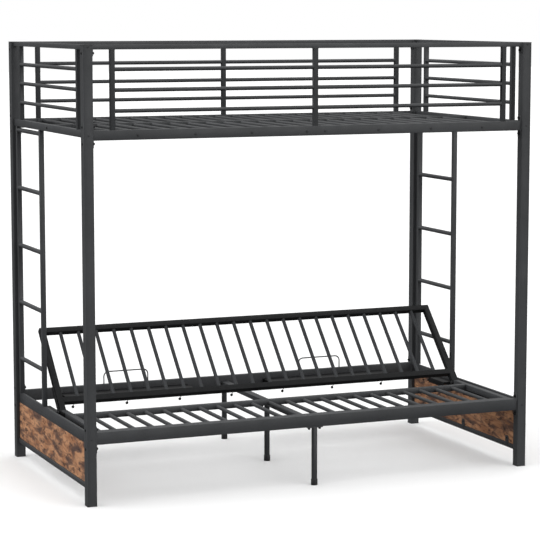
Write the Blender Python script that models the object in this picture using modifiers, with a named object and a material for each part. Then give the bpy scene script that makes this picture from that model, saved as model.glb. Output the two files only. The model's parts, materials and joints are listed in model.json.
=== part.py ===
"""Metal bunk bed: an upper berth in a guard rail over a futon frame whose backrest folds flat.

The origin is on the floor under the middle of the bed. +X runs to the right as seen from the
front, +Y to the back and +Z up. All lengths are in metres.
"""

import math

import bmesh
import bpy
from mathutils import Matrix, Vector

# Overall size
LENGTH = 1.988
WIDTH = 1.064
HEIGHT = 1.830

# Clearance between neighbouring pieces, and how far a cutter runs past what it cuts
GAP = 0.0003
OVERRUN = 0.002

# Corner posts with their plastic feet and caps
POST = 0.040
POST_WALL = 0.0015
POST_CORNER = 0.002
FOOT_FLANGE = 0.003
CAP_FLANGE = 0.002
FOOT_PLUG = 0.018
CAP_PLUG = 0.012

# End plates that bolt the long rails to the posts
PLATE = 0.003
PLATE_WIDTH = 0.030

# Upper berth rails, hung from the posts' tops by the guards' height
GUARD_HEIGHT = 0.3335
UPPER_RAIL_HEIGHT = 0.040
UPPER_RAIL_DEPTH = 0.020
UPPER_END_HEIGHT = 0.030
UPPER_PLATE_RISE = 0.022
UPPER_PLATE_HEIGHT = 0.090
RAIL_WALL = 0.0015
RAIL_CORNER = 0.002

# Guards around the upper berth
GUARD_TUBE = 0.019
GUARD_PLATE_HEIGHT = 0.045
GUARD_ROD_SHARES = (0.223, 0.468, 0.711)
UPRIGHT_INSET = 0.084

# One round tube makes the guards' rods and all slats; each slat row has the same count
ROD_RADIUS = 0.008
SLAT_COUNT = 22
SLAT_END_SHARE = 0.84
UPPER_SLAT_DROP = 0.011
STRIP = 0.003
STRIP_HEIGHT = 0.030
STRIP_DROP = 0.002
STRIP_MARGIN = 0.030

# Ladders, one at each end beside the back post
LADDER_TUBE = 0.019
LADDER_INSET = 0.027
LADDER_SPREAD = 0.346
RUNG_RADIUS = 0.0095
RUNG_COUNT = 5
FIRST_RUNG_SHARE = 0.131
TOP_RUNG_GAP = 0.007

# Lower rails
LOWER_TOP = 0.297
LOWER_SIDE_HEIGHT = 0.050
LOWER_SIDE_DEPTH = 0.020
LOWER_PLATE_RISE = 0.026
LOWER_PLATE_HEIGHT = 0.109
LOWER_END_DROP = 0.0035
LOWER_END_HEIGHT = 0.048
LOWER_END_DEPTH = 0.010
BOTTOM_RAIL_TOP = 0.085
BOTTOM_RAIL_HEIGHT = 0.020
END_RAIL_DEPTH = 0.020
PANEL_THICKNESS = 0.010
PANEL_EDGE = 0.001

# Beam across the bed and the three legs in the middle
CROSSBEAM_WIDTH = 0.035
CROSSBEAM_HEIGHT = 0.020
LEG_RADIUS = 0.012
LEG_PLATE = 0.003
LEG_PLATE_LENGTH = 0.070
LEG_PLATE_WIDTH = 0.020
LEG_CAP_WALL = 0.0016
LEG_CAP_FLOOR = 0.003
LEG_CAP_HEIGHT = 0.025

# Futon seat frame
SEAT_DROP = 0.0007
SEAT_TUBE_HEIGHT = 0.025
SEAT_END_GAP = 0.0285
SIDE_BAR = 0.025
SEAT_FRONT_DEPTH = 0.030
MID_RAIL_TO_HINGE = 0.135
MID_RAIL_DEPTH = 0.025
BAR_PLUG = 0.002

# Folding backrest, its distances measured from the hinge along the rods
HINGE_Y = 0.009
BACK_TILT = math.radians(45.5)
BACK_RAIL_FROM_HINGE = 0.043
BACK_BAR_PAST_HINGE = 0.010
BACK_SWING_GAP = 0.001
BACK_REAR_GAP = 0.060
BACK_RAIL_WIDTH = 0.025
BACK_DEPTH = 0.025

# Hinges: a fixed plate on the seat, an arm on the backrest and a riveted pin through both
HINGE_PLATE = 0.003
HINGE_PLATE_LENGTH = 0.075
HINGE_DISC_RADIUS = 0.0135
HINGE_ARM_WIDTH = 0.019
HINGE_PAD_INSET = 0.015
HINGE_PAD_LENGTH = 0.070
PIN_RADIUS = 0.005
PIN_HEAD_RADIUS = 0.0085
PIN_HEAD = 0.003

# Brackets on the end rails that carry the seat and the folded backrest
BRACKET_SHEET = 0.003
BRACKET_DROP = 0.024
FRONT_BRACKET_Y = -0.152
FRONT_BRACKET_LENGTH = 0.080
REAR_BRACKET_Y = 0.163
REAR_BRACKET_LENGTH = 0.150

# Ledges on the back rail under the folded backrest's top rail
LEDGE_SHEET = 0.002
LEDGE_OVERLAP = 0.003
LEDGE_MIDDLE_GAP = 0.187
LEDGE_END_GAP = 0.1617
LEDGE_LIP = 0.010
LEDGE_FLANGE = 0.022

# Wire loops on the back rail that keep the mattress in place
WIRE_RADIUS = 0.003
WIRE_LOOP_WIDTH = 0.215
WIRE_LOOP_HEIGHT = 0.058
WIRE_LOOP_CORNER = 0.022
WIRE_LOOP_PLACE_SHARE = 0.5

# Round shapes
ROD_SIDES = 12
RUNG_SIDES = 16
PIN_SIDES = 24
CORNER_STEPS = 5
SMOOTH_ANGLE = math.radians(50)

# Places worked out from the sizes above
HALF_LENGTH = LENGTH / 2
HALF_WIDTH = WIDTH / 2
POST_X = HALF_LENGTH - POST / 2
POST_Y = HALF_WIDTH - POST / 2
RAIL_HALF_LENGTH = HALF_LENGTH - POST - GAP
RAIL_HALF_WIDTH = HALF_WIDTH - POST - GAP
UPPER_TOP = HEIGHT - GUARD_HEIGHT
UPPER_END_BOTTOM = UPPER_TOP - UPPER_END_HEIGHT
LOWER_END_TOP = LOWER_TOP - LOWER_END_DROP
SEAT_BOTTOM = LOWER_TOP - SEAT_DROP - SEAT_TUBE_HEIGHT
SEAT_Z = SEAT_BOTTOM + SEAT_TUBE_HEIGHT / 2
SEAT_HALF_LENGTH = POST_X - LOWER_END_DEPTH / 2 - SEAT_END_GAP
SIDE_BAR_X = SEAT_HALF_LENGTH - SIDE_BAR / 2
LOWER_RAIL_FACE_Y = POST_Y - LOWER_SIDE_DEPTH / 2
HINGE_Z = SEAT_BOTTOM + BACK_DEPTH / 2
SEAT_BAR_END = -math.hypot(BACK_BAR_PAST_HINGE, BACK_DEPTH / 2) - BACK_SWING_GAP - BAR_PLUG - GAP
BACK_END = LOWER_RAIL_FACE_Y - BACK_REAR_GAP - HINGE_Y
REST_TOP = SEAT_BOTTOM - GAP

# Slats: the same places across the seat, the backrest and the upper berth
SLAT_PITCH = 2 * (SEAT_HALF_LENGTH - SIDE_BAR) / (SLAT_COUNT - 1 + 2 * SLAT_END_SHARE)
SLAT_PLACES = [(index - (SLAT_COUNT - 1) / 2) * SLAT_PITCH for index in range(SLAT_COUNT)]

LEFT_RIGHT = (("left", -1), ("right", 1))
FRONT_BACK = (("front", -1), ("back", 1))

# Finishes: colour, metallic value and roughness
FINISHES = {
    "frame_coat": ((0.055, 0.057, 0.062), 0.35, 0.48),
    "backrest_coat": ((0.022, 0.023, 0.026), 0.35, 0.50),
    "bracket_coat": ((0.012, 0.012, 0.013), 0.30, 0.55),
    "panel_wood": ((0.300, 0.150, 0.080), 0.0, 0.60),
    "cap_plastic": ((0.015, 0.015, 0.016), 0.0, 0.55),
    "pin_steel": ((0.250, 0.250, 0.260), 1.0, 0.40),
}


def clear_scene():
    """Remove what the file opened with and make the two collections."""
    for item in list(bpy.data.objects):
        bpy.data.objects.remove(item, do_unlink=True)
    collections = []
    for title in ("bunk_bed", "cutters"):
        collection = bpy.data.collections.new(title)
        bpy.context.scene.collection.children.link(collection)
        collections.append(collection)
    return collections


def finish_material(name, finish):
    """A Principled BSDF with one of the finishes."""
    colour, metallic, roughness = FINISHES[finish]
    material = bpy.data.materials.new(f"{name}_{finish}")
    material.use_nodes = True
    shader = material.node_tree.nodes["Principled BSDF"]
    shader.inputs["Base Color"].default_value = (*colour, 1)
    shader.inputs["Metallic"].default_value = metallic
    shader.inputs["Roughness"].default_value = roughness
    return material


def place(name, data, finish, location, turn=(0, 0, 0)):
    """Put mesh or curve data in the scene as a named sub-part."""
    part = bpy.data.objects.new(name, data)
    part.data.materials.append(finish_material(name, finish))
    part.location = location
    part.rotation_euler = turn
    PARTS.objects.link(part)
    return part


def to_mesh(name, shapes):
    """Turn a bmesh into mesh data with its round faces smooth."""
    data = bpy.data.meshes.new(name)
    shapes.to_mesh(data)
    shapes.free()
    data.shade_smooth()
    data.set_sharp_from_angle(angle=SMOOTH_ANGLE)
    return data


def boxes(*centres_and_sizes):
    """Boxes that don't touch each other, each given by its centre and its size."""
    shapes = bmesh.new()
    for centre, size in centres_and_sizes:
        matrix = Matrix.Translation(centre) @ Matrix.Diagonal((*size, 1))
        bmesh.ops.create_cube(shapes, size=1, matrix=matrix)
    return shapes


def rods(radius, sides, *ends):
    """Round rods that don't touch each other, each given by its two end points."""
    shapes = bmesh.new()
    for first, last in ends:
        run = Vector(last) - Vector(first)
        middle = (Vector(first) + Vector(last)) / 2
        matrix = Matrix.Translation(middle) @ run.to_track_quat("Z", "Y").to_matrix().to_4x4()
        bmesh.ops.create_cone(shapes, cap_ends=True, segments=sides, radius1=radius,
                              radius2=radius, depth=run.length, matrix=matrix)
    return shapes


def combine(part, shapes, operation):
    """Join shapes to a part, or cut them from it, with a Boolean."""
    number = len(part.modifiers)
    name = f"{part.name}_{operation.lower()}_{number}"
    tool = bpy.data.objects.new(name, to_mesh(name, shapes))
    tool.parent = part
    tool.hide_render = True
    tool.display_type = "WIRE"
    CUTTERS.objects.link(tool)
    boolean = part.modifiers.new(name, "BOOLEAN")
    boolean.operation = operation
    boolean.object = tool


def make_welded(name, finish, location, groups, turn=(0, 0, 0)):
    """One solid from groups of shapes; shapes of one group don't touch each other."""
    part = place(name, to_mesh(name, groups[0]), finish, location, turn)
    for shapes in groups[1:]:
        combine(part, shapes, "UNION")
    return part


def make_tube(name, size, length, wall, corner, location, turn=(0, 0, 0)):
    """A hollow rectangular tube along its own Z axis, open at both ends."""
    shapes = boxes(((0, 0, 0), (*size, length)))
    shapes.normal_update()
    ends = [face for face in shapes.faces if abs(face.normal.z) > abs(face.normal.x + face.normal.y)]
    bmesh.ops.delete(shapes, geom=ends, context="FACES_ONLY")
    part = place(name, to_mesh(name, shapes), "frame_coat", location, turn)
    bevel = part.modifiers.new("corners", "BEVEL")
    bevel.width = corner
    bevel.segments = 2
    bevel.limit_method = "ANGLE"
    solidify = part.modifiers.new("wall", "SOLIDIFY")
    solidify.thickness = wall
    solidify.offset = -1
    solidify.use_even_offset = True
    return part


def make_turned(name, finish, profile, location, turn=(0, 0, 0)):
    """A turned shape from a profile of radius and height pairs, run down its outer side."""
    data = bpy.data.meshes.new(name)
    points = [(radius, 0, height) for radius, height in profile]
    edges = [(index, index + 1) for index in range(len(points) - 1)]
    data.from_pydata(points, edges, [])
    part = place(name, data, finish, location, turn)
    screw = part.modifiers.new("turn", "SCREW")
    screw.steps = PIN_SIDES
    screw.render_steps = PIN_SIDES
    screw.use_merge_vertices = True
    screw.merge_threshold = GAP / 10
    return part


def make_folded(name, finish, outline, length, location, turn):
    """A folded sheet or channel: an outline in its own XY plane, extruded along its Z axis."""
    data = bpy.data.curves.new(name, "CURVE")
    data.dimensions = "2D"
    data.fill_mode = "BOTH"
    data.extrude = length / 2
    spline = data.splines.new("POLY")
    spline.points.add(len(outline) - 1)
    for point, (across, up) in zip(spline.points, outline):
        point.co = (across, up, 0, 1)
    spline.use_cyclic_u = True
    return place(name, data, finish, location, turn)


# Turns that lay a piece's own Z axis along X or along Y
ALONG_X = (0, math.radians(90), 0)
ALONG_Y = (math.radians(-90), 0, 0)
# A turn that stands an outline's Y axis up and looks at it along Y, and one that looks along X
OUTLINE_ALONG_Y = (math.radians(90), 0, 0)
OUTLINE_ALONG_X = (math.radians(90), 0, math.radians(90))


def make_plug(name, location, flange, plug):
    """A flange with a ribbed plug inside the post; both lengths are negative when it hangs down."""
    wide = POST - 2 * (POST_WALL + GAP)
    narrow = wide - 2 * (POST_CORNER - POST_WALL)
    plug_centre = (0, 0, (flange + plug) / 2)
    make_welded(name, "cap_plastic", location, [
        boxes(((0, 0, flange / 2), (POST, POST, abs(flange)))),
        boxes((plug_centre, (wide, narrow, abs(plug)))),
        boxes((plug_centre, (narrow, wide, abs(plug)))),
    ])


def make_post(name, x, y):
    """A square corner post with a plastic foot and a plastic cap plugged into it."""
    top = HEIGHT - CAP_FLANGE - GAP
    bottom = FOOT_FLANGE + GAP
    make_tube(f"post_{name}", (POST, POST), top - bottom, POST_WALL, POST_CORNER, (x, y, (top + bottom) / 2))
    make_plug(f"foot_{name}", (x, y, 0), FOOT_FLANGE, FOOT_PLUG)
    make_plug(f"cap_{name}", (x, y, HEIGHT), -CAP_FLANGE, -CAP_PLUG)


def make_side_rail(name, y, top, height, depth, plate_rise, plate_height):
    """A long rail between two posts with a bolt plate welded on each end."""
    rail_z = top - height / 2
    plate_x = RAIL_HALF_LENGTH - PLATE / 2
    plate_z = top + plate_rise - plate_height / 2 - rail_z
    plate_size = (PLATE, PLATE_WIDTH, plate_height)
    make_welded(name, "frame_coat", (0, y, rail_z), [
        boxes(((0, 0, 0), (2 * plate_x, depth, height))),
        boxes(*[((side * plate_x, 0, plate_z), plate_size) for _, side in LEFT_RIGHT]),
    ])


def guard_rod_places(top_z):
    """The guard rods' heights, counted from the middle of the top tube."""
    return [UPPER_TOP + share * GUARD_HEIGHT - top_z for share in GUARD_ROD_SHARES]


def make_side_guard(name, y):
    """A long guard: top tube with end plates, three uprights on the bed rail, three rods."""
    top_z = HEIGHT - GUARD_TUBE / 2
    upright_foot = UPPER_TOP + GAP
    upright_height = top_z - upright_foot
    upright_size = (GUARD_TUBE, GUARD_TUBE, upright_height)
    upright_z = -upright_height / 2
    plate_x = RAIL_HALF_LENGTH - PLATE / 2
    plate_z = (GUARD_TUBE - GUARD_PLATE_HEIGHT) / 2
    plate_size = (PLATE, PLATE_WIDTH, GUARD_PLATE_HEIGHT)
    spread = RAIL_HALF_LENGTH - UPRIGHT_INSET
    uprights = [((step * spread, 0, upright_z), upright_size) for step in (-1, 0, 1)]
    plates = [((side * plate_x, 0, plate_z), plate_size) for _, side in LEFT_RIGHT]
    rod_ends = [((-spread, 0, rod_z), (spread, 0, rod_z)) for rod_z in guard_rod_places(top_z)]
    make_welded(name, "frame_coat", (0, y, top_z), [
        boxes(((0, 0, 0), (2 * plate_x, GUARD_TUBE, GUARD_TUBE))),
        boxes(*uprights, *plates),
        rods(ROD_RADIUS, ROD_SIDES, *rod_ends),
    ])


def make_end_guard(name, x):
    """A short guard: top tube, two uprights on the end rail and three rods between them."""
    top_z = HEIGHT - GUARD_TUBE / 2
    upright_height = top_z - UPPER_TOP - GAP
    upright_size = (GUARD_TUBE, GUARD_TUBE, upright_height)
    spread = RAIL_HALF_WIDTH - UPRIGHT_INSET
    uprights = [((0, side * spread, -upright_height / 2), upright_size) for _, side in FRONT_BACK]
    rod_ends = [((0, -spread, rod_z), (0, spread, rod_z)) for rod_z in guard_rod_places(top_z)]
    make_welded(name, "frame_coat", (x, 0, top_z), [
        boxes(((0, 0, 0), (GUARD_TUBE, 2 * RAIL_HALF_WIDTH, GUARD_TUBE))),
        boxes(*uprights),
        rods(ROD_RADIUS, ROD_SIDES, *rod_ends),
    ])


def make_end_rail(name, x, top, depth, height):
    """A rectangular tube between the two posts of one end."""
    size = (depth, height)
    make_tube(name, size, 2 * RAIL_HALF_WIDTH, RAIL_WALL, RAIL_CORNER, (x, 0, top - height / 2), ALONG_Y)


def make_centre_beam():
    """The beam along the middle of the upper berth, between the two end rails."""
    half_length = POST_X - END_RAIL_DEPTH / 2 - GAP
    size = (UPPER_END_HEIGHT, UPPER_RAIL_DEPTH)
    place_z = (UPPER_TOP + UPPER_END_BOTTOM) / 2
    make_tube("upper_centre_beam", size, 2 * half_length, RAIL_WALL, RAIL_CORNER, (0, 0, place_z), ALONG_X)


def make_upper_slats(name, side):
    """One row of upper slats, welded between a strip on the side rail and one on the beam."""
    outer = POST_Y - UPPER_RAIL_DEPTH / 2 - GAP
    inner = UPPER_RAIL_DEPTH / 2 + GAP
    middle = (outer + inner) / 2
    strip_y = (outer - inner - STRIP) / 2
    strip_length = SLAT_PITCH * (SLAT_COUNT - 1) + 2 * STRIP_MARGIN
    strip_size = (strip_length, STRIP, STRIP_HEIGHT)
    strip_z = UPPER_SLAT_DROP - STRIP_DROP - STRIP_HEIGHT / 2
    strips = [((0, edge * strip_y, strip_z), strip_size) for _, edge in FRONT_BACK]
    slats = [((x, -strip_y, 0), (x, strip_y, 0)) for x in SLAT_PLACES]
    make_welded(name, "frame_coat", (0, side * middle, UPPER_TOP - UPPER_SLAT_DROP), [
        boxes(*strips),
        rods(ROD_RADIUS, ROD_SIDES, *slats),
    ])


def make_ladder(name, x):
    """A ladder of two square legs and round rungs, between the upper and the lower end rail."""
    foot = LOWER_END_TOP + GAP
    height = UPPER_END_BOTTOM - GAP - foot
    spread = LADDER_SPREAD / 2
    middle = HALF_WIDTH - POST - LADDER_INSET - spread
    first = FIRST_RUNG_SHARE * height
    last = UPPER_END_BOTTOM - TOP_RUNG_GAP - RUNG_RADIUS - foot
    step = (last - first) / (RUNG_COUNT - 1)
    rungs = [first + index * step for index in range(RUNG_COUNT)]
    leg_size = (LADDER_TUBE, LADDER_TUBE, height)
    legs = [((0, side * spread, height / 2), leg_size) for _, side in FRONT_BACK]
    rung_ends = [((0, -spread, rung), (0, spread, rung)) for rung in rungs]
    make_welded(name, "frame_coat", (x, middle, foot), [
        boxes(*legs),
        rods(RUNG_RADIUS, RUNG_SIDES, *rung_ends),
    ])


def make_panel(name, x):
    """A wood end panel between the lower end rail and the bottom rail."""
    bottom = BOTTOM_RAIL_TOP + GAP
    top = LOWER_END_TOP - LOWER_END_HEIGHT - GAP
    size = (PANEL_THICKNESS, 2 * RAIL_HALF_WIDTH, top - bottom)
    panel = place(name, to_mesh(name, boxes(((0, 0, 0), size))), "panel_wood", (x, 0, (top + bottom) / 2))
    bevel = panel.modifiers.new("edges", "BEVEL")
    bevel.width = PANEL_EDGE
    bevel.segments = 1
    bevel.limit_method = "ANGLE"


def make_crossbeam():
    """The tube under the middle of the seat, from the front rail to the back rail."""
    half_length = LOWER_RAIL_FACE_Y - GAP
    size = (CROSSBEAM_WIDTH, CROSSBEAM_HEIGHT)
    place_z = REST_TOP - CROSSBEAM_HEIGHT / 2
    make_tube("crossbeam", size, 2 * half_length, RAIL_WALL, RAIL_CORNER, (0, 0, place_z), ALONG_Y)


def make_centre_leg(name, y, carried):
    """A round leg with a bolt plate on top, up to what it carries, and a plastic cap below."""
    top = carried - GAP
    bottom = LEG_CAP_FLOOR + GAP
    plate_z = top - LEG_PLATE / 2
    make_welded(f"centre_leg_{name}", "frame_coat", (0, y, 0), [
        boxes(((0, 0, plate_z), (LEG_PLATE_LENGTH, LEG_PLATE_WIDTH, LEG_PLATE))),
        rods(LEG_RADIUS, RUNG_SIDES, ((0, 0, bottom), (0, 0, plate_z))),
    ])
    bore = LEG_RADIUS + GAP
    outside = bore + LEG_CAP_WALL
    cup = [(0, LEG_CAP_FLOOR), (bore, LEG_CAP_FLOOR), (bore, LEG_CAP_HEIGHT), (outside, LEG_CAP_HEIGHT),
           (outside, 0), (0, 0)]
    make_turned(f"leg_cap_{name}", "cap_plastic", cup, (0, y, 0))


def make_seat():
    """The welded middle of the seat frame: front tube, mid rail and the slats between them."""
    front_y = GAP + SEAT_FRONT_DEPTH / 2 - LOWER_RAIL_FACE_Y
    mid_y = HINGE_Y - MID_RAIL_TO_HINGE + MID_RAIL_DEPTH / 2
    mid_length = 2 * (SEAT_HALF_LENGTH - SIDE_BAR - GAP)
    make_welded("seat_frame", "frame_coat", (0, 0, SEAT_Z), [
        boxes(((0, front_y, 0), (2 * SEAT_HALF_LENGTH, SEAT_FRONT_DEPTH, SEAT_TUBE_HEIGHT)),
              ((0, mid_y, 0), (mid_length, MID_RAIL_DEPTH, SEAT_TUBE_HEIGHT))),
        rods(ROD_RADIUS, ROD_SIDES, *[((x, front_y, 0), (x, mid_y, 0)) for x in SLAT_PLACES]),
    ])


def make_seat_bar(name, side):
    """A side bar of the seat, from the front tube to where the backrest's bar swings."""
    front_end = GAP + SEAT_FRONT_DEPTH + GAP - LOWER_RAIL_FACE_Y - HINGE_Y
    bar_y = (front_end + SEAT_BAR_END) / 2
    bar = boxes(((0, bar_y, 0), (SIDE_BAR, SEAT_BAR_END - front_end, SEAT_TUBE_HEIGHT)))
    part_name = f"seat_bar_{name}"
    place(part_name, to_mesh(part_name, bar), "frame_coat", (side * SIDE_BAR_X, HINGE_Y, SEAT_Z))


def make_bar_plug(name, side):
    """The plastic plug on the rear end of a seat side bar."""
    y = HINGE_Y + SEAT_BAR_END + GAP + BAR_PLUG / 2
    plug = boxes(((0, 0, 0), (SIDE_BAR, BAR_PLUG, SEAT_TUBE_HEIGHT)))
    part_name = f"bar_plug_{name}"
    place(part_name, to_mesh(part_name, plug), "cap_plastic", (side * SIDE_BAR_X, y, SEAT_Z))


def make_backrest():
    """The folding backrest, its own Y axis along the rods and its origin on the hinge axis."""
    bar_size = (SIDE_BAR, BACK_END + BACK_BAR_PAST_HINGE, BACK_DEPTH)
    bar_y = (BACK_END - BACK_BAR_PAST_HINGE) / 2
    bars = [((side * SIDE_BAR_X, bar_y, 0), bar_size) for _, side in LEFT_RIGHT]
    low_rail = BACK_RAIL_FROM_HINGE + BACK_RAIL_WIDTH / 2
    top_rail = BACK_END - BACK_RAIL_WIDTH / 2
    rail_size = (2 * SIDE_BAR_X, BACK_RAIL_WIDTH, BACK_DEPTH)
    rails = [((0, y, 0), rail_size) for y in (low_rail, top_rail)]
    back_rods = [((x, low_rail, 0), (x, top_rail, 0)) for x in SLAT_PLACES]
    backrest = make_welded("backrest_frame", "backrest_coat", (0, HINGE_Y, HINGE_Z), [
        boxes(*rails),
        boxes(*bars),
        rods(ROD_RADIUS, ROD_SIDES, *back_rods),
    ], (BACK_TILT, 0, 0))
    inner = SEAT_HALF_LENGTH - SIDE_BAR - OVERRUN
    outer = SEAT_HALF_LENGTH + OVERRUN
    holes = [((side * inner, 0, 0), (side * outer, 0, 0)) for _, side in LEFT_RIGHT]
    combine(backrest, rods(PIN_RADIUS + GAP, PIN_SIDES, *holes), "DIFFERENCE")
    return backrest


def make_hinge_sheet(name, location, run, *pads):
    """A flat strap that runs along Y from a round eye with the pin's hole in it."""
    half = HINGE_PLATE / 2
    sheet = make_welded(name, "bracket_coat", location, [
        boxes(((0, run / 2, 0), (HINGE_PLATE, abs(run), HINGE_ARM_WIDTH))),
        rods(HINGE_DISC_RADIUS, PIN_SIDES, ((-half, 0, 0), (half, 0, 0))),
        *pads,
    ])
    hole_ends = ((-half - OVERRUN, 0, 0), (half + OVERRUN, 0, 0))
    combine(sheet, rods(PIN_RADIUS + GAP, PIN_SIDES, hole_ends), "DIFFERENCE")
    return sheet


def make_hinge(name, side, backrest):
    """A hinge at one end: fixed plate, arm on the backrest and the riveted pin."""
    plate_inner = SEAT_HALF_LENGTH + GAP
    arm_inner = plate_inner + HINGE_PLATE + GAP
    arm_outer = arm_inner + HINGE_PLATE
    plate_x = side * (plate_inner + HINGE_PLATE / 2)
    arm_x = side * (arm_inner + HINGE_PLATE / 2)
    make_hinge_sheet(f"hinge_plate_{name}", (plate_x, HINGE_Y, HINGE_Z), -HINGE_PLATE_LENGTH)
    pad_depth = arm_inner + HINGE_PLATE / 2 - plate_inner
    pad_start = BACK_RAIL_FROM_HINGE + HINGE_PAD_INSET
    pad_centre = (-side * pad_depth / 2, pad_start + HINGE_PAD_LENGTH / 2, 0)
    pad = boxes((pad_centre, (pad_depth, HINGE_PAD_LENGTH, HINGE_ARM_WIDTH)))
    arm = make_hinge_sheet(f"hinge_arm_{name}", (arm_x, 0, 0), pad_start + HINGE_PAD_LENGTH, pad)
    arm.parent = backrest

    inner_end = SEAT_HALF_LENGTH - SIDE_BAR - GAP
    outer_end = arm_outer + GAP
    rivet = [(0, outer_end + PIN_HEAD), (PIN_HEAD_RADIUS, outer_end + PIN_HEAD), (PIN_HEAD_RADIUS, outer_end),
             (PIN_RADIUS, outer_end), (PIN_RADIUS, inner_end), (PIN_HEAD_RADIUS, inner_end),
             (PIN_HEAD_RADIUS, inner_end - PIN_HEAD), (0, inner_end - PIN_HEAD)]
    shank = [(radius, height - SEAT_HALF_LENGTH) for radius, height in rivet]
    turn = (0, side * math.radians(90), 0)
    location = (side * SEAT_HALF_LENGTH, HINGE_Y, HINGE_Z)
    make_turned(f"hinge_pin_{name}", "pin_steel", shank, location, turn)


def make_rest_bracket(name, side, y, length):
    """A folded channel on the end rail that reaches under the side bars."""
    rail_face = POST_X - LOWER_END_DEPTH / 2 - GAP
    reach = rail_face - (SEAT_HALF_LENGTH - SIDE_BAR)
    sheet = BRACKET_SHEET
    outline = [(0, -BRACKET_DROP), (0, 0), (reach, 0), (reach, -BRACKET_DROP), (reach - sheet, -BRACKET_DROP),
               (reach - sheet, -sheet), (sheet, -sheet), (sheet, -BRACKET_DROP)]
    turned = [(-side * across, up) for across, up in outline]
    make_folded(f"rest_bracket_{name}", "bracket_coat", turned, length, (side * rail_face, y, REST_TOP),
                OUTLINE_ALONG_Y)


def make_rear_ledge(name, side):
    """A folded shelf on the back rail for the folded backrest's top rail."""
    reach = BACK_REAR_GAP + BACK_RAIL_WIDTH + LEDGE_OVERLAP
    outer_end = RAIL_HALF_LENGTH - LEDGE_END_GAP
    length = outer_end - LEDGE_MIDDLE_GAP
    middle = (outer_end + LEDGE_MIDDLE_GAP) / 2
    sheet = LEDGE_SHEET
    outline = [(0, 0), (0, -LEDGE_FLANGE), (-sheet, -LEDGE_FLANGE), (-sheet, -sheet), (sheet - reach, -sheet),
               (sheet - reach, -LEDGE_LIP), (-reach, -LEDGE_LIP), (-reach, 0)]
    location = (side * middle, LOWER_RAIL_FACE_Y - GAP, REST_TOP)
    make_folded(f"rear_ledge_{name}", "bracket_coat", outline, length, location, OUTLINE_ALONG_X)


def make_wire_loop(name, side):
    """A bent wire that stands on the back rail and stops the mattress."""
    reach = WIRE_LOOP_WIDTH / 2 - WIRE_RADIUS
    top = WIRE_LOOP_HEIGHT - WIRE_RADIUS
    points = [(-reach, 0)]
    for corner in (-1, 1):
        for step in range(CORNER_STEPS + 1):
            angle = math.radians(90) * step / CORNER_STEPS
            along = math.cos(angle) if corner < 0 else math.sin(angle)
            up = math.sin(angle) if corner < 0 else math.cos(angle)
            across = corner * (reach - WIRE_LOOP_CORNER + WIRE_LOOP_CORNER * along)
            points.append((across, top - WIRE_LOOP_CORNER + WIRE_LOOP_CORNER * up))
    points.append((reach, 0))
    data = bpy.data.curves.new(f"wire_loop_{name}", "CURVE")
    data.dimensions = "3D"
    data.bevel_depth = WIRE_RADIUS
    data.bevel_resolution = 2
    data.use_fill_caps = True
    spline = data.splines.new("POLY")
    spline.points.add(len(points) - 1)
    for point, (across, up) in zip(spline.points, points):
        point.co = (across, 0, up, 1)
    location = (side * WIRE_LOOP_PLACE_SHARE * RAIL_HALF_LENGTH, POST_Y, LOWER_TOP + GAP)
    place(f"wire_loop_{name}", data, "frame_coat", location)


def build():
    """Build the whole bed."""
    for x_name, x_side in LEFT_RIGHT:
        for y_name, y_side in FRONT_BACK:
            make_post(f"{y_name}_{x_name}", x_side * POST_X, y_side * POST_Y)
    for name, side in FRONT_BACK:
        make_side_guard(f"guard_{name}", side * POST_Y)
        make_side_rail(f"upper_rail_{name}", side * POST_Y, UPPER_TOP, UPPER_RAIL_HEIGHT,
                       UPPER_RAIL_DEPTH, UPPER_PLATE_RISE, UPPER_PLATE_HEIGHT)
        make_upper_slats(f"upper_slats_{name}", side)
        make_side_rail(f"lower_rail_{name}", side * POST_Y, LOWER_TOP, LOWER_SIDE_HEIGHT,
                       LOWER_SIDE_DEPTH, LOWER_PLATE_RISE, LOWER_PLATE_HEIGHT)
        make_centre_leg(name, side * POST_Y, LOWER_TOP - LOWER_SIDE_HEIGHT)
    make_centre_beam()
    make_crossbeam()
    make_centre_leg("middle", 0, REST_TOP - CROSSBEAM_HEIGHT)
    make_seat()
    backrest = make_backrest()
    for name, side in LEFT_RIGHT:
        make_end_guard(f"guard_{name}", side * POST_X)
        make_end_rail(f"upper_end_rail_{name}", side * POST_X, UPPER_TOP, END_RAIL_DEPTH,
                      UPPER_END_HEIGHT)
        make_ladder(f"ladder_{name}", side * POST_X)
        make_end_rail(f"lower_end_rail_{name}", side * POST_X, LOWER_END_TOP, LOWER_END_DEPTH,
                      LOWER_END_HEIGHT)
        make_panel(f"wood_panel_{name}", side * POST_X)
        make_end_rail(f"bottom_rail_{name}", side * POST_X, BOTTOM_RAIL_TOP, END_RAIL_DEPTH,
                      BOTTOM_RAIL_HEIGHT)
        make_seat_bar(name, side)
        make_bar_plug(name, side)
        make_hinge(name, side, backrest)
        make_rest_bracket(f"front_{name}", side, FRONT_BRACKET_Y, FRONT_BRACKET_LENGTH)
        make_rest_bracket(f"rear_{name}", side, REAR_BRACKET_Y, REAR_BRACKET_LENGTH)
        make_rear_ledge(name, side)
        make_wire_loop(name, side)


PARTS, CUTTERS = clear_scene()
build()
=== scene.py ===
"""Looks of the metal bunk bed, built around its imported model.

The bed's welded frames stay as they are packed. They get rounded edges, powder-coat and wood
materials, and around them come the bolts, nuts, screws, panel clips, capped pins and weld beads.
Lengths are in metres: +X to the right as seen from the front, +Y to the back, +Z up, origin on
the floor.
"""

import json
import math

import bmesh
import bpy
from mathutils import Matrix, Vector


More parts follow.
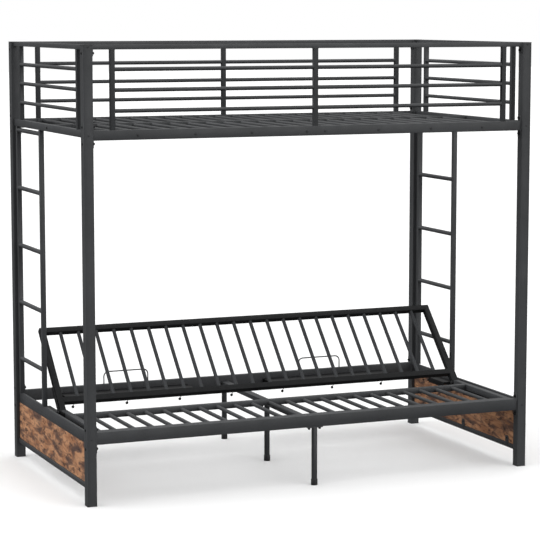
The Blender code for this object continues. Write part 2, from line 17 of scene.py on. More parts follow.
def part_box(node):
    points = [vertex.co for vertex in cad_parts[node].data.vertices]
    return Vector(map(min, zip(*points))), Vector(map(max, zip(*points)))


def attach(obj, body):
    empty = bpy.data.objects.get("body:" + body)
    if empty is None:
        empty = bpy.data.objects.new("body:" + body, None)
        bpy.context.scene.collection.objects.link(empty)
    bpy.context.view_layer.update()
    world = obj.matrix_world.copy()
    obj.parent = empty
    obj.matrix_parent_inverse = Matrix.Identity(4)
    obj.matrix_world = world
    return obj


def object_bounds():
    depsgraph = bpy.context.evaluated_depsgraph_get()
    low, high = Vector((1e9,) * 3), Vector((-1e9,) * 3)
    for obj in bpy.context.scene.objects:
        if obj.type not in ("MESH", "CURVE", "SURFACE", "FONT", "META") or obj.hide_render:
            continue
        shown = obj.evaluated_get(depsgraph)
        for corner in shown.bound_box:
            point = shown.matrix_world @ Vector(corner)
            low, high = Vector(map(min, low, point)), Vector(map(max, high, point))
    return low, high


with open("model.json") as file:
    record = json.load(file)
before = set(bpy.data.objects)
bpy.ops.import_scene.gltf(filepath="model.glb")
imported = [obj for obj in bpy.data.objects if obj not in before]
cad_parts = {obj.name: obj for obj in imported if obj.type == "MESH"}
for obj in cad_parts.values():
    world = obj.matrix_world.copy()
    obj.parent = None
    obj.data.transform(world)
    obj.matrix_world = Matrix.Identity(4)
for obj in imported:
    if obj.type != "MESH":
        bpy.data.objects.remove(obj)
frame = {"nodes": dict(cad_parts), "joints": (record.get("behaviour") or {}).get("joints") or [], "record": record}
CAD_BOX = [list(corner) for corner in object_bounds()]
NODES = frame["nodes"]

# Camera, solved from the corners of the posts in a square picture
CAMERA_PLACE = (-3.4332, -8.2364, 1.9459)
CAMERA_YAW = math.radians(22.713)
CAMERA_PITCH = math.radians(7.040)
CAMERA_LENS = 137.87
CAMERA_SENSOR = 36.0

# Studio: soft lights by the direction they come from, and the backdrop's brightness
FLOOR_HALF = 60.0
FLOOR_BRIGHTNESS = 0.96
BACKDROP_SEEN = 1.0
SKY_LOW = 0.10
SKY_HIGH = 1.60
LIGHTS = {
    "left_softbox": {"from": (-1.0, 0.12, 0.17), "spread": math.radians(45), "strength": 1.9},
    "front_softbox": {"from": (0.45, -1.0, 0.17), "spread": math.radians(50), "strength": 1.25},
}

# Fasteners: the radius and the height of each head and nut, and the points in a turned ring
BOLT_HEAD = (0.0056, 0.0024)
SMALL_HEAD = (0.0042, 0.0016)
NUT = (0.0062, 0.0062)
SMALL_NUT = (0.0046, 0.0040)
HEAD_SIDES = 24

# Sheet under the fasteners: the plates of the rails and the legs, and the strips of the slats
PLATE = 0.003
STRIP = 0.003

# Where they sit: below the tops of the posts and of the centre beam, and beside a leg's middle
POST_BOLTS_BELOW_TOP = (0.033, 0.320, 0.386, 1.522, 1.599)
POST_SCREWS_BELOW_TOP = (0.009, 0.353, 1.559)
RAIL_BOLTS_BELOW_TOP = 0.022
LEG_BOLT_SPREAD = 0.024

# Slats and rods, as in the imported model
SLAT_COUNT = 22
SLAT_END_SHARE = 0.84
ROD_RADIUS = 0.008
ROD_SIZE = (ROD_RADIUS, ROD_RADIUS)
RUNG_RADIUS = 0.0095
UPPER_SLAT_DROP = 0.011
GUARD_TUBE = 0.019
UPRIGHT_INSET = 0.084
GUARD_ROD_SHARES = (0.223, 0.468, 0.711)
RUNG_COUNT = 5
FIRST_RUNG_SHARE = 0.131
TOP_RUNG_GAP = 0.007
RAIL_HALF_DEPTH = 0.010
SEAT_FRONT_DEPTH = 0.030
SEAT_REAR_DEPTH = 0.025

# Backrest: slope at rest, its bottom rail along the rods from the hinge, and its tubes
BACK_TILT = math.radians(45.5)
BACK_RAIL_WIDTH = 0.025
BACK_DEPTH = 0.025
BACK_START = 0.043
BACK_END = 0.433

# Stand-off pins with caps behind the backrest's bottom rail
PIN_RADIUS = 0.0014
PIN_LENGTH = 0.034
PIN_CAP = (0.0060, 0.009)
PIN_SHIFT = -0.0125

# Weld beads
BEAD_RADIUS = 0.0016
SMALL_BEAD_RADIUS = 0.0013
BEAD_SIDES = 5
BEAD_STEPS = 20
BEAD_WOBBLE = 0.16
BEAD_RIPPLES = 7
BEAD_PHASE = 40

# Clips that hold the wood panels
CLIP_WIDTH = 0.028
CLIP_SHEET = 0.002
CLIP_RISE = 0.030
CLIP_CORNER = 0.010
CLIP_STEPS = 5
CLIP_SCREW_SHARE = 0.6
PANEL_SCREW_DROP = 0.016
CLIP_DROP = 0.012
CLIP_SHARE = 0.826
CLIP_SHIFT = -0.008

# Turned shapes as rows of shares of their radius and height: a button head with a hexagon socket
# and a flanged nut with its bolt's end, whose rows end with a corner count, and a pin's domed cap
HEAD_SHARES = ((0, 0, 0), (1, 0, 0), (1, 0.30, 0), (0.90, 0.68, 0), (0.72, 0.92, 0), (0.56, 1, 0),
               (0.44, 1, 6), (0.42, 0.25, 6), (0, 0.20, 0))
NUT_SHARES = ((0, 0, 0), (1.22, 0, 0), (1.22, 0.14, 0), (1.02, 0.26, 0), (1, 0.30, 6), (1, 0.88, 6),
              (0.88, 1, 0), (0.55, 1, 0), (0.53, 1.30, 0), (0.42, 1.38, 0), (0, 1.38, 0))
CAP_SHARES = ((0.86, 0), (1, 0.2), (1, 0.6), (0.75, 0.9), (0.35, 1), (0, 1))

# Fasteners at every third slat or rod, and where they begin in slat pitches from the middle
SLATS_PER_BOLT = 3
RAIL_BOLT_START = 0.5
BACK_PIN_START = 1.5

# Noises of the finishes: frequency, detail and roughness
COAT_NOISES = {"clouds": (5.0, 3.0, 0.5), "grain": (1400.0, 1.0, 0.5), "wipes": (14.0, 4.0, 0.6),
               "peel": (900.0, 2.0, 0.5)}
PLASTIC_NOISES = {"scuffs": (60.0, 5.0, 0.65), "grain": (2200.0, 2.0, 0.5)}
STEEL_NOISES = {"blotches": (220.0, 4.0, 0.6), "marks": (900.0, 2.0, 0.5)}
NOISE_SPAN = (0.3, 0.7)

# Lighter edges, a painted highlight on the coats and wear on the steel: samples, and the agreement of the two
# normals on a flat face and on an edge
EDGE_SAMPLES = 4
EDGE_SPAN = (1.0, 0.85)

# Coat: its tints, its specks' span and strength, its roughness, its edges' painted highlight and bump depth
COAT_TINTS = (0.86, 1.14)
COAT_SPECKS = (0.58, 0.75, 0.0, 0.35)
COAT_ROUGHNESS = 0.5
COAT_ROUGH_SPREAD = 0.07
COAT_EDGE = (0.0015, 0.35)
COAT_DEPTH = 0.0004

# Plastic: its light tint, its scuffs' span, its roughness and its bump
PLASTIC_TINT = 1.9
PLASTIC_SCUFF_SPAN = (0.5, 0.8)
PLASTIC_ROUGHNESS = (0.3, 0.8, 0.45, 0.62)
PLASTIC_BUMP = (0.15, 0.0002)

# Steel: its light and worn tints, its blotches' span, its roughness spread, edges and marks
STEEL_TINTS = (1.6, 4.0)
STEEL_BLOTCH_SPAN = (0.35, 0.7)
STEEL_ROUGH_SPREAD = 0.08
STEEL_EDGE = (0.0006, 0.4)
STEEL_METALLIC = 0.9
STEEL_STRETCH = (1, 1, 6)
STEEL_BUMP = (0.1, 0.0002)

# Wood: each noise by its frequencies along X, Y and Z, its detail, roughness and distortion
WOOD_NOISES = {
    "grain": ((1, 9, 34), 5.0, 0.55, 0.8),
    "mottle": ((1, 15, 48), 4.0, 0.6, 0.5),
    "blotches": ((1, 7.5, 20), 4.0, 0.6, 0.6),
    "knots": ((1, 22, 62), 2.0, 0.5, 0.4),
    "streaks": ((1, 10, 190), 3.0, 0.6, 0.4),
    "rubs": ((1, 7, 24), 3.0, 0.55, 0.5),
}
WOOD_GRAIN_SPAN = (0.38, 0.60)
WOOD_BASE = ((0.330, 0.150, 0.075), (0.560, 0.290, 0.155))
WOOD_ROUGHNESS = (0.66, 0.52)
WOOD_SPECULAR = 0.25
WOOD_BUMP = (0.12, 0.0004)

# Layers over the wood's base: the span where each comes in, its strength and its colour
WOOD_LAYERS = (
    ("mottle", (0.49, 0.60), 0.70, (0.120, 0.068, 0.052)),
    ("blotches", (0.50, 0.60), 0.78, (0.062, 0.042, 0.041)),
    ("knots", (0.60, 0.66), 0.80, (0.040, 0.026, 0.024)),
    ("streaks", (0.56, 0.72), 0.14, (0.090, 0.050, 0.038)),
    ("rubs", (0.56, 0.70), 0.35, (0.640, 0.370, 0.210)),
)

# Floor paint
FLOOR_TINT = (0.6, 0.99)
FLOOR_ROUGHNESS = 0.9

# Rounded edges of the welded frames and the angle under which a face is smooth
TUBE_ROUNDING = 0.0016
SHEET_ROUNDING = 0.0005
BEVEL_ANGLE = math.radians(50)
BEVEL_SEGMENTS = 2
SMOOTH_ANGLE = math.radians(42)
MERGE_DISTANCE = 0.00001
FLAT_ANGLE = math.radians(0.3)

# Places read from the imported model
LEFT_RIGHT = (("left", -1), ("right", 1))
FRONT_BACK = (("front", -1), ("back", 1))
TOP = CAD_BOX[1][2]
SEAT_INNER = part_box("seat_bar_right")[0].x
SLAT_PITCH = 2 * SEAT_INNER / (SLAT_COUNT - 1 + 2 * SLAT_END_SHARE)
SLAT_PLACES = [(index - (SLAT_COUNT - 1) / 2) * SLAT_PITCH for index in range(SLAT_COUNT)]
HINGE = Vector(frame["joints"][0]["pos_m"])
BACK_PLACE = Matrix.Translation(HINGE) @ Matrix.Rotation(BACK_TILT, 4, "X")


def make_material(name):
    """A new node material, its node tree and its shader."""
    material = bpy.data.materials.new(name)
    material.use_nodes = True
    tree = material.node_tree
    return material, tree, tree.nodes["Principled BSDF"]


def add_noise(tree, place, scale, detail=2.0, roughness=0.5, distortion=0.0):
    """A noise texture read at the given place."""
    noise = tree.nodes.new("ShaderNodeTexNoise")
    noise.inputs["Scale"].default_value = scale
    noise.inputs["Detail"].default_value = detail
    noise.inputs["Roughness"].default_value = roughness
    noise.inputs["Distortion"].default_value = distortion
    tree.links.new(place, noise.inputs["Vector"])
    return noise.outputs["Fac"]


def add_range(tree, value, low, high, to_low=0.0, to_high=1.0):
    """A value's range from low to high, mapped to another range."""
    node = tree.nodes.new("ShaderNodeMapRange")
    for socket, number in (("From Min", low), ("From Max", high), ("To Min", to_low), ("To Max", to_high)):
        node.inputs[socket].default_value = number
    tree.links.new(value, node.inputs["Value"])
    return node.outputs["Result"]


def add_mix(tree, factor, first, second):
    """A mix of two colours; each is a colour or a node's output, and so is the factor."""
    node = tree.nodes.new("ShaderNodeMix")
    node.data_type = "RGBA"
    sockets = [s for s in node.inputs if s.enabled]
    for socket, value in zip(sockets, (factor, first, second)):
        if isinstance(value, bpy.types.NodeSocket):
            tree.links.new(value, socket)
        elif isinstance(value, tuple):
            socket.default_value = (*value, 1)
        else:
            socket.default_value = value
    return [s for s in node.outputs if s.enabled][0]


def add_math(tree, operation, first, second):
    """The result of an operation on two values; each is a number or a node's output."""
    node = tree.nodes.new("ShaderNodeMath")
    node.operation = operation
    for socket, value in zip(node.inputs, (first, second)):
        if isinstance(value, bpy.types.NodeSocket):
            tree.links.new(value, socket)
        else:
            socket.default_value = value
    return node.outputs[0]


def add_stretch(tree, place, scale):
    """The place with its axes scaled."""
    node = tree.nodes.new("ShaderNodeMapping")
    node.inputs["Scale"].default_value = scale
    tree.links.new(place, node.inputs["Vector"])
    return node.outputs["Vector"]


def add_bump(tree, shader, height, strength, distance):
    """Bump from a height."""
    node = tree.nodes.new("ShaderNodeBump")
    node.inputs["Strength"].default_value = strength
    node.inputs["Distance"].default_value = distance
    tree.links.new(height, node.inputs["Height"])
    tree.links.new(node.outputs["Normal"], shader.inputs["Normal"])


def object_place(tree):
    """The place on the piece, in metres."""
    return tree.nodes.new("ShaderNodeTexCoord").outputs["Object"]


def add_edges(tree, radius):
    """1 along sharp edges and 0 on flat faces."""
    bevel = tree.nodes.new("ShaderNodeBevel")
    bevel.samples = EDGE_SAMPLES
    bevel.inputs["Radius"].default_value = radius
    geometry = tree.nodes.new("ShaderNodeNewGeometry")
    product = tree.nodes.new("ShaderNodeVectorMath")
    product.operation = "DOT_PRODUCT"
    tree.links.new(bevel.outputs["Normal"], product.inputs[0])
    tree.links.new(geometry.outputs["Normal"], product.inputs[1])
    return add_range(tree, product.outputs["Value"], *EDGE_SPAN)


def add_rod_mask(tree, place):
    """1 on the backrest's rods and 0 on its rails and its side bars."""
    split = tree.nodes.new("ShaderNodeSeparateXYZ")
    tree.links.new(place, split.inputs[0])
    runs = []
    for axis, start, share in (("Y", HINGE.y, math.cos(BACK_TILT)), ("Z", HINGE.z, math.sin(BACK_TILT))):
        from_hinge = add_math(tree, "SUBTRACT", split.outputs[axis], start)
        runs.append(add_math(tree, "MULTIPLY", from_hinge, share))
    along = add_math(tree, "ADD", *runs)
    inside = add_math(tree, "LESS_THAN", add_math(tree, "ABSOLUTE", split.outputs["X"], 0), SEAT_INNER)
    above = add_math(tree, "GREATER_THAN", along, BACK_START + BACK_RAIL_WIDTH)
    below = add_math(tree, "LESS_THAN", along, BACK_END - BACK_RAIL_WIDTH)
    return add_math(tree, "MULTIPLY", inside, add_math(tree, "MULTIPLY", above, below))


def add_noises(tree, place, noises):
    """A finish's noises by name."""
    return {name: add_noise(tree, place, *values) for name, values in noises.items()}


def make_coat(name, colour, pale_tint, specular=0.4, peel=0.12, rod_colour=None):
    """Textured powder coat: faint cloudiness, fine grain, orange peel and a painted highlight that makes its edges
    lighter.
    """
    material, tree, shader = make_material(name)
    place = object_place(tree)
    noises = add_noises(tree, place, COAT_NOISES)
    dark, light = [tuple(tint * part for part in colour) for tint in COAT_TINTS]
    base = add_mix(tree, add_range(tree, noises["clouds"], *NOISE_SPAN), dark, light)
    # On the backrest the rails and side bars keep the near-black base, partly the backrest's own coat and partly
    # painted shade from the upper bunk above; the rods take the charcoal rod colour.
    if rod_colour:
        base = add_mix(tree, add_rod_mask(tree, place), base, rod_colour)
    speckled = add_mix(tree, add_range(tree, noises["grain"], *COAT_SPECKS), base, pale_tint)
    # Painted highlight: the coat turns towards its pale tint along sharp edges.
    edge_radius, edge_share = COAT_EDGE
    edges = add_math(tree, "MULTIPLY", add_edges(tree, edge_radius), edge_share)
    tree.links.new(add_mix(tree, edges, speckled, pale_tint), shader.inputs["Base Color"])
    ends = (COAT_ROUGHNESS - COAT_ROUGH_SPREAD, COAT_ROUGHNESS + COAT_ROUGH_SPREAD)
    tree.links.new(add_range(tree, noises["wipes"], *NOISE_SPAN, *ends), shader.inputs["Roughness"])
    shader.inputs["Specular IOR Level"].default_value = specular
    add_bump(tree, shader, noises["peel"], peel, COAT_DEPTH)
    return material


def make_plastic(name, colour):
    """Moulded plastic: fine spark-eroded grain and scuffs."""
    material, tree, shader = make_material(name)
    noises = add_noises(tree, object_place(tree), PLASTIC_NOISES)
    light = tuple(PLASTIC_TINT * part for part in colour)
    scuffed = add_mix(tree, add_range(tree, noises["scuffs"], *PLASTIC_SCUFF_SPAN), colour, light)
    tree.links.new(scuffed, shader.inputs["Base Color"])
    tree.links.new(add_range(tree, noises["scuffs"], *PLASTIC_ROUGHNESS), shader.inputs["Roughness"])
    add_bump(tree, shader, noises["grain"], *PLASTIC_BUMP)
    return material


def make_steel(name, colour, roughness):
    """Dark zinc steel: blotches, turning marks and worn edges."""
    material, tree, shader = make_material(name)
    place = object_place(tree)
    blotches = add_noise(tree, place, *STEEL_NOISES["blotches"])
    light, pale_tint = [tuple(tint * part for part in colour) for tint in STEEL_TINTS]
    base = add_mix(tree, add_range(tree, blotches, *STEEL_BLOTCH_SPAN), colour, light)
    edge_radius, edge_share = STEEL_EDGE
    edges = add_math(tree, "MULTIPLY", add_edges(tree, edge_radius), edge_share)
    tree.links.new(add_mix(tree, edges, base, pale_tint), shader.inputs["Base Color"])
    ends = (roughness - STEEL_ROUGH_SPREAD, roughness + STEEL_ROUGH_SPREAD)
    tree.links.new(add_range(tree, blotches, *NOISE_SPAN, *ends), shader.inputs["Roughness"])
    shader.inputs["Metallic"].default_value = STEEL_METALLIC
    marks = add_noise(tree, add_stretch(tree, place, STEEL_STRETCH), *STEEL_NOISES["marks"])
    add_bump(tree, shader, marks, *STEEL_BUMP)
    return material


def make_wood(name):
    """Rustic brown board: grain along its length, dark smoky blotches, small knots and pale rubs."""
    material, tree, shader = make_material(name)
    place = object_place(tree)
    noises = {}
    for layer, (stretch, *values) in WOOD_NOISES.items():
        noises[layer] = add_noise(tree, add_stretch(tree, place, stretch), 1.0, *values)
    colour = add_mix(tree, add_range(tree, noises["grain"], *WOOD_GRAIN_SPAN), *WOOD_BASE)
    for layer, span, strength, tint in WOOD_LAYERS:
        colour = add_mix(tree, add_range(tree, noises[layer], *span, 0.0, strength), colour, tint)
    tree.links.new(colour, shader.inputs["Base Color"])
    rough = add_range(tree, noises["grain"], *NOISE_SPAN, *WOOD_ROUGHNESS)
    tree.links.new(rough, shader.inputs["Roughness"])
    shader.inputs["Specular IOR Level"].default_value = WOOD_SPECULAR
    add_bump(tree, shader, add_math(tree, "ADD", noises["grain"], noises["streaks"]), *WOOD_BUMP)
    return material


def make_smooth_group():
    """A modifier group that shades faces smooth except across edges sharper than an angle."""
    group = bpy.data.node_groups.new("smooth_by_angle", "GeometryNodeTree")
    group.interface.new_socket("Geometry", in_out="INPUT", socket_type="NodeSocketGeometry")
    group.interface.new_socket("Geometry", in_out="OUTPUT", socket_type="NodeSocketGeometry")
    entry = group.nodes.new("NodeGroupInput")
    leave = group.nodes.new("NodeGroupOutput")
    faces = group.nodes.new("GeometryNodeSetShadeSmooth")
    faces.domain = "FACE"
    edges = group.nodes.new("GeometryNodeSetShadeSmooth")
    edges.domain = "EDGE"
    angle = group.nodes.new("GeometryNodeInputMeshEdgeAngle")
    compare = group.nodes.new("FunctionNodeCompare")
    compare.operation = "LESS_THAN"
    compare.inputs["B"].default_value = SMOOTH_ANGLE
    group.links.new(entry.outputs[0], faces.inputs["Geometry"])
    group.links.new(faces.outputs["Geometry"], edges.inputs["Geometry"])
    group.links.new(angle.outputs["Unsigned Angle"], compare.inputs["A"])
    group.links.new(compare.outputs["Result"], edges.inputs["Shade Smooth"])
    group.links.new(edges.outputs["Geometry"], leave.inputs[0])
    return group


def soften(piece, width, group):
    """Round a CAD node's edges with modifiers, without touching its mesh."""
    weld = piece.modifiers.new("weld", "WELD")
    weld.merge_threshold = MERGE_DISTANCE
    flatten = piece.modifiers.new("flatten", "DECIMATE")
    flatten.decimate_type = "DISSOLVE"
    flatten.angle_limit = FLAT_ANGLE
    if width:
        bevel = piece.modifiers.new("edges", "BEVEL")
        bevel.width = width
        bevel.segments = BEVEL_SEGMENTS
        bevel.limit_method = "ANGLE"
        bevel.angle_limit = BEVEL_ANGLE
    smooth = piece.modifiers.new("smooth", "NODES")
    smooth.node_group = group


def make_camera():
    """The camera at the photograph's viewing angle."""
    data = bpy.data.cameras.new("camera")
    data.sensor_width = CAMERA_SENSOR
    data.lens = CAMERA_LENS
    data.clip_end = 4 * FLOOR_HALF
    camera = bpy.data.objects.new("camera", data)
    camera.location = CAMERA_PLACE
    camera.rotation_euler = (math.radians(90) - CAMERA_PITCH, 0, -CAMERA_YAW)
    bpy.context.scene.collection.objects.link(camera)
    bpy.context.scene.camera = camera


def make_lights():
    """Wide soft lights on the left and in front."""
    for name, light in LIGHTS.items():
        data = bpy.data.lights.new(name, "SUN")
        data.angle = light["spread"]
        data.energy = light["strength"]
        lamp = bpy.data.objects.new(name, data)
        lamp.rotation_euler = Vector(light["from"]).to_track_quat("Z", "Y").to_euler()
        bpy.context.scene.collection.objects.link(lamp)


def make_world():
    """A plain white backdrop and a soft sky that is brightest straight above."""
    world = bpy.data.worlds.new("studio")
    world.use_nodes = True
    tree = world.node_tree
    background = tree.nodes["Background"]
    background.inputs["Color"].default_value = (1, 1, 1, 1)
    split = tree.nodes.new("ShaderNodeSeparateXYZ")
    tree.links.new(tree.nodes.new("ShaderNodeTexCoord").outputs["Generated"], split.inputs[0])
    sky = add_range(tree, split.outputs["Z"], 0.0, 1.0, SKY_LOW, SKY_HIGH)
    seen = tree.nodes.new("ShaderNodeLightPath").outputs["Is Camera Ray"]
    white = add_math(tree, "MULTIPLY", seen, BACKDROP_SEEN)
    tree.links.new(add_math(tree, "MAXIMUM", sky, white), background.inputs["Strength"])
    bpy.context.scene.world = world


def make_floor():
    """A plain pale floor."""
    data = bpy.data.meshes.new("studio_floor")
    shape = bmesh.new()
    bmesh.ops.create_grid(shape, x_segments=1, y_segments=1, size=FLOOR_HALF)
    shape.to_mesh(data)
    shape.free()
    floor = bpy.data.objects.new("studio_floor", data)
    bpy.context.scene.collection.objects.link(floor)
    material, tree, shader = make_material("floor_paint")
    tint_scale, tint_share = FLOOR_TINT
    tint = add_noise(tree, object_place(tree), tint_scale)
    pale = (FLOOR_BRIGHTNESS, FLOOR_BRIGHTNESS, FLOOR_BRIGHTNESS)
    paler = tuple(tint_share * part for part in pale)
    tree.links.new(add_mix(tree, tint, pale, paler), shader.inputs["Base Color"])
    shader.inputs["Roughness"].default_value = FLOOR_ROUGHNESS
    shader.inputs["Specular IOR Level"].default_value = 0.0
    data.materials.append(material)
    floor.visible_diffuse = False
    floor.visible_glossy = False


def dress_nodes():
    """Give each CAD node its finish and its rounded edges."""
    finishes = {part["node"]: part["material_slot"] for part in frame["record"]["subparts"]}
    group = make_smooth_group()
    for name, piece in NODES.items():
        for slot in piece.material_slots:
            slot.material = FINISHES[finishes[name]]
        if name.startswith(("foot", "cap", "hinge", "bar_plug", "rest", "rear", "leg_cap")):
            soften(piece, SHEET_ROUNDING, group)
        elif name.startswith(("post", "wood", "wire")):
            soften(piece, 0, group)
        else:
            soften(piece, TUBE_ROUNDING, group)


def ring_places(radius, corners):
    """Points of a circle, or of a polygon with that many corners, around the Z axis."""
    sector = 2 * math.pi / max(corners, 1)
    places = []
    for index in range(HEAD_SIDES):
        angle = 2 * math.pi * index / HEAD_SIDES
        reach = radius
        if corners:
            reach *= math.cos(sector / 2) / math.cos(angle % sector - sector / 2)
        places.append((reach * math.cos(angle), reach * math.sin(angle)))
    return places


def add_turned(shape, place, direction, profile):
    """A closed turned shape from rows of radius, height and corner count, standing on a face."""
    matrix = Matrix.Translation(place) @ Vector(direction).to_track_quat("Z", "Y").to_matrix().to_4x4()
    rings = []
    for radius, height, corners in profile:
        spots = ring_places(radius, corners) if radius else [(0, 0)]
        rings.append([shape.verts.new(matrix @ Vector((x, y, height))) for x, y in spots])
    for lower, upper in zip(rings, rings[1:]):
        for index in range(HEAD_SIDES):
            following = (index + 1) % HEAD_SIDES
            if len(upper) == 1:
                shape.faces.new((lower[index], lower[following], upper[0]))
            elif len(lower) == 1:
                shape.faces.new((lower[0], upper[following], upper[index]))
            else:
                shape.faces.new((lower[index], lower[following], upper[following], upper[index]))


def turned_profile(shares, size):
    """A fastener's rows of radius, height and corner count, from its shares and its size."""
    radius, height = size
    return [(radius * across, height * up, corners) for across, up, corners in shares]


def pin_profile():
    """A stand-off pin with a domed cap."""
    radius, height = PIN_CAP
    shank = [(0, 0, 0), (PIN_RADIUS, 0, 0), (PIN_RADIUS, PIN_LENGTH, 0)]
    return shank + [(across * radius, PIN_LENGTH + up * height, 0) for across, up in CAP_SHARES]


def places_from(start):
    """Every third slat place on each side, counted from a start in pitches from the middle."""
    steps = [(place, round(abs(place) / SLAT_PITCH - start)) for place in SLAT_PLACES]
    return [place for place, step in steps if step % SLATS_PER_BOLT == 0]


def add_bead(shape, centre, axis, half_sizes, radius=BEAD_RADIUS, square=True):
    """A slightly rippled weld bead around a bar that runs along an axis through the centre."""
    axis = Vector(axis).normalized()
    side = Vector((0, 0, 1)) if abs(axis.z) < 0.5 else Vector((1, 0, 0))
    across = side.cross(axis).normalized()
    side = axis.cross(across)
    rings = []
    for step in range(BEAD_STEPS):
        angle = 2 * math.pi * (step + 0.5) / BEAD_STEPS
        reach = (math.cos(angle), math.sin(angle))
        if square:
            reach = [part / max(abs(reach[0]), abs(reach[1])) for part in reach]
        outward = (across * reach[0] * half_sizes[0] + side * reach[1] * half_sizes[1])
        spot = Vector(centre) + outward
        away = outward.normalized()
        size = radius * (1 + BEAD_WOBBLE * math.sin(BEAD_RIPPLES * angle + centre[0] * BEAD_PHASE))
        ring = []
        for corner in range(BEAD_SIDES):
            turn = 2 * math.pi * corner / BEAD_SIDES
            ring.append(shape.verts.new(spot + size * (away * math.cos(turn) + axis * math.sin(turn))))
        rings.append(ring)
    for first, second in zip(rings, rings[1:] + rings[:1]):
        for corner in range(BEAD_SIDES):
            following = (corner + 1) % BEAD_SIDES
            shape.faces.new((first[corner], first[following], second[following], second[corner]))


def make_piece(name, shape, finish, body="bed", matrix=None):
    """Turn a bmesh into a piece that rides on a body."""
    bmesh.ops.recalc_face_normals(shape, faces=shape.faces)
    data = bpy.data.meshes.new(name)
    shape.to_mesh(data)
    shape.free()
    if matrix:
        data.transform(matrix)
    data.shade_smooth()
    data.set_sharp_from_angle(angle=SMOOTH_ANGLE)
    data.materials.append(finish)
    piece = bpy.data.objects.new(name, data)
    bpy.context.scene.collection.objects.link(piece)
    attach(piece, body)


def make_post_fasteners():
    """Bolts through the posts with nuts on the rails' plates, and screws into the end rails."""
    head, small_head = [turned_profile(HEAD_SHARES, size) for size in (BOLT_HEAD, SMALL_HEAD)]
    nut = turned_profile(NUT_SHARES, NUT)
    for x_name, x_side in LEFT_RIGHT:
        for y_name, y_side in FRONT_BACK:
            low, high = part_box(f"post_{y_name}_{x_name}")
            centre = (low + high) / 2
            half = (high.x - low.x) / 2
            plate_x = x_side * (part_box(f"upper_rail_{y_name}")[1].x - PLATE)
            bolts, nuts, screws = bmesh.new(), bmesh.new(), bmesh.new()
            for drop in POST_BOLTS_BELOW_TOP:
                z = TOP - drop
                add_turned(bolts, (centre.x + x_side * half, centre.y, z), (x_side, 0, 0), head)
                add_turned(nuts, (plate_x, centre.y, z), (-x_side, 0, 0), nut)
            for drop in POST_SCREWS_BELOW_TOP:
                spot = (centre.x, centre.y + y_side * half, TOP - drop)
                add_turned(screws, spot, (0, y_side, 0), small_head)
            make_piece(f"post_bolts_{y_name}_{x_name}", bolts, FINISHES["fastener"])
            make_piece(f"post_nuts_{y_name}_{x_name}", nuts, FINISHES["fastener"])
            make_piece(f"post_screws_{y_name}_{x_name}", screws, FINISHES["coated_head"])


def make_rail_fasteners():
    """Bolts along the upper rails and the centre beam, and under the three legs' plates."""
    head = turned_profile(HEAD_SHARES, BOLT_HEAD)
    small_nut = turned_profile(NUT_SHARES, SMALL_NUT)
    for y_name, y_side in FRONT_BACK:
        shape = bmesh.new()
        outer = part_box(f"guard_{y_name}")
        rail_y = (outer[0].y + outer[1].y) / 2
        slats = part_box(f"upper_slats_{y_name}")
        strip_ends = sorted((slats[0].y, slats[1].y), key=abs)
        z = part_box("upper_centre_beam")[1].z - RAIL_BOLTS_BELOW_TOP
        for x in places_from(RAIL_BOLT_START):
            add_turned(shape, (x, rail_y + y_side * RAIL_HALF_DEPTH, z), (0, y_side, 0), head)
            add_turned(shape, (x, strip_ends[1] - y_side * STRIP, z), (0, -y_side, 0), small_nut)
            add_turned(shape, (x, strip_ends[0] + y_side * STRIP, z), (0, y_side, 0), small_nut)
        make_piece(f"upper_rail_bolts_{y_name}", shape, FINISHES["coated_head"])
    for name in ("front", "middle", "back"):
        low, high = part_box(f"centre_leg_{name}")
        centre = (low + high) / 2
        shape = bmesh.new()
        for side in (-1, 1):
            spot = (centre.x + side * LEG_BOLT_SPREAD, centre.y, high.z - PLATE)
            add_turned(shape, spot, (0, 0, -1), turned_profile(NUT_SHARES, NUT))
        make_piece(f"leg_bolts_{name}", shape, FINISHES["fastener"])
    for name, side in LEFT_RIGHT:
        low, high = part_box(f"upper_end_rail_{name}")
        middle = (low + high) / 2
        shape = bmesh.new()
        outer_x = high.x if side > 0 else low.x
        add_turned(shape, (outer_x, 0, middle.z), (side, 0, 0), head)
        make_piece(f"beam_bolt_{name}", shape, FINISHES["fastener"])


def add_prism(shape, outline, thickness):
    """A flat piece: an outline of points, and the same outline moved by the thickness."""
    shifts = (Vector(), Vector(thickness))
    faces = [[shape.verts.new(Vector(spot) + shift) for spot in outline] for shift in shifts]
    shape.faces.new(faces[0])
    shape.faces.new(faces[1])
    for index in range(len(outline)):
        following = (index + 1) % len(outline)
        shape.faces.new((faces[0][index], faces[0][following], faces[1][following], faces[1][index]))


def clip_outline(x, y, foot):
    """The tab of a clip: upright on the panel, with a rounded top."""
    half = CLIP_WIDTH / 2
    points = [(x, y - half, foot)]
    for corner in (-1, 1):
        for step in range(CLIP_STEPS + 1):
            angle = math.radians(90) * (step / CLIP_STEPS if corner < 0 else 1 - step / CLIP_STEPS)
            across = corner * (half - CLIP_CORNER + CLIP_CORNER * math.cos(angle))
            points.append((x, y + across, foot + CLIP_RISE - CLIP_CORNER + CLIP_CORNER * math.sin(angle)))
    points.append((x, y + half, foot))
    return points


